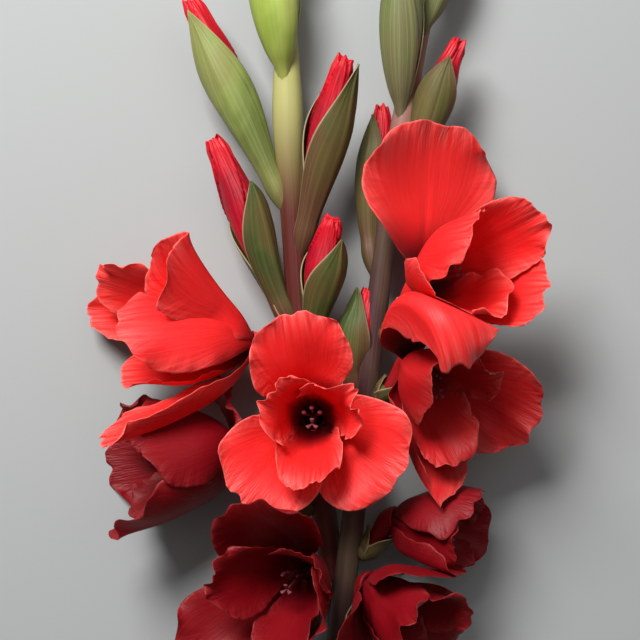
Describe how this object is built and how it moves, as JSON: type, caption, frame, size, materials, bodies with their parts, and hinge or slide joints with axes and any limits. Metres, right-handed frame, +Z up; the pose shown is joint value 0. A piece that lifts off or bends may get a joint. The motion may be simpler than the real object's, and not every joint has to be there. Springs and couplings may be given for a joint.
{
  "type": "cut gladiolus",
  "caption": "Cut gladiolus spikes lying face up, stems crossed: open ruffled scarlet blooms below, furled buds in green bracts above, a sword leaf low on each stem",
  "frame": {"origin": "where the left stem's cut end rests on the surface", "axes": "+Y along the stems to the bud tips, +X to the right seen from above, +Z up from the surface"},
  "size_m": [0.2388, 0.6474, 0.1144],
  "materials": {
    "petal": "satin scarlet petal, coral towards the light, near black in the throat",
    "bud": "satin crimson furled petal",
    "stamen": "matt dusky pink",
    "bract": "waxy olive green with a maroon flush and pale margins",
    "stem": "waxy green flushed tan and maroon",
    "leaf": "satin ribbed green"
  },
  "bodies": {
    "root": {"left_stem": "stem", "left_leaf": "leaf", "left_front_spathe": "bract", "left_front_bloom": "petal", "left_front_stamens": "stamen", "left_upper_side_spathe": "bract", "left_upper_side_bloom": "petal", "left_upper_side_stamens": "stamen", "left_lower_side_spathe": "bract", "left_lower_side_bloom": "petal", "left_lower_side_stamens": "stamen", "left_lowest_spathe": "bract", "left_lowest_bloom": "petal", "left_lowest_stamens": "stamen", "left_bud_1_spathe": "bract", "left_bud_1": "bud", "left_bud_2_spathe": "bract", "left_bud_2": "bud", "left_bud_3_spathe": "bract", "left_bud_3": "bud", "left_bud_4_spathe": "bract", "left_bud_4": "bud", "right_stem": "stem", "right_leaf": "leaf", "right_upper_side_spathe": "bract", "right_upper_side_bloom": "petal", "right_upper_side_stamens": "stamen", "right_middle_side_spathe": "bract", "right_middle_side_bloom": "petal", "right_middle_side_stamens": "stamen", "right_lower_side_spathe": "bract", "right_lower_side_bloom": "petal", "right_lower_side_stamens": "stamen", "right_lowest_spathe": "bract", "right_lowest_bloom": "petal", "right_lowest_stamens": "stamen", "right_bud_1_spathe": "bract", "right_bud_1": "bud", "right_bud_2_spathe": "bract", "right_bud_2": "bud", "right_bud_3_spathe": "bract", "right_bud_3": "bud"}
  },
  "joints": []
}
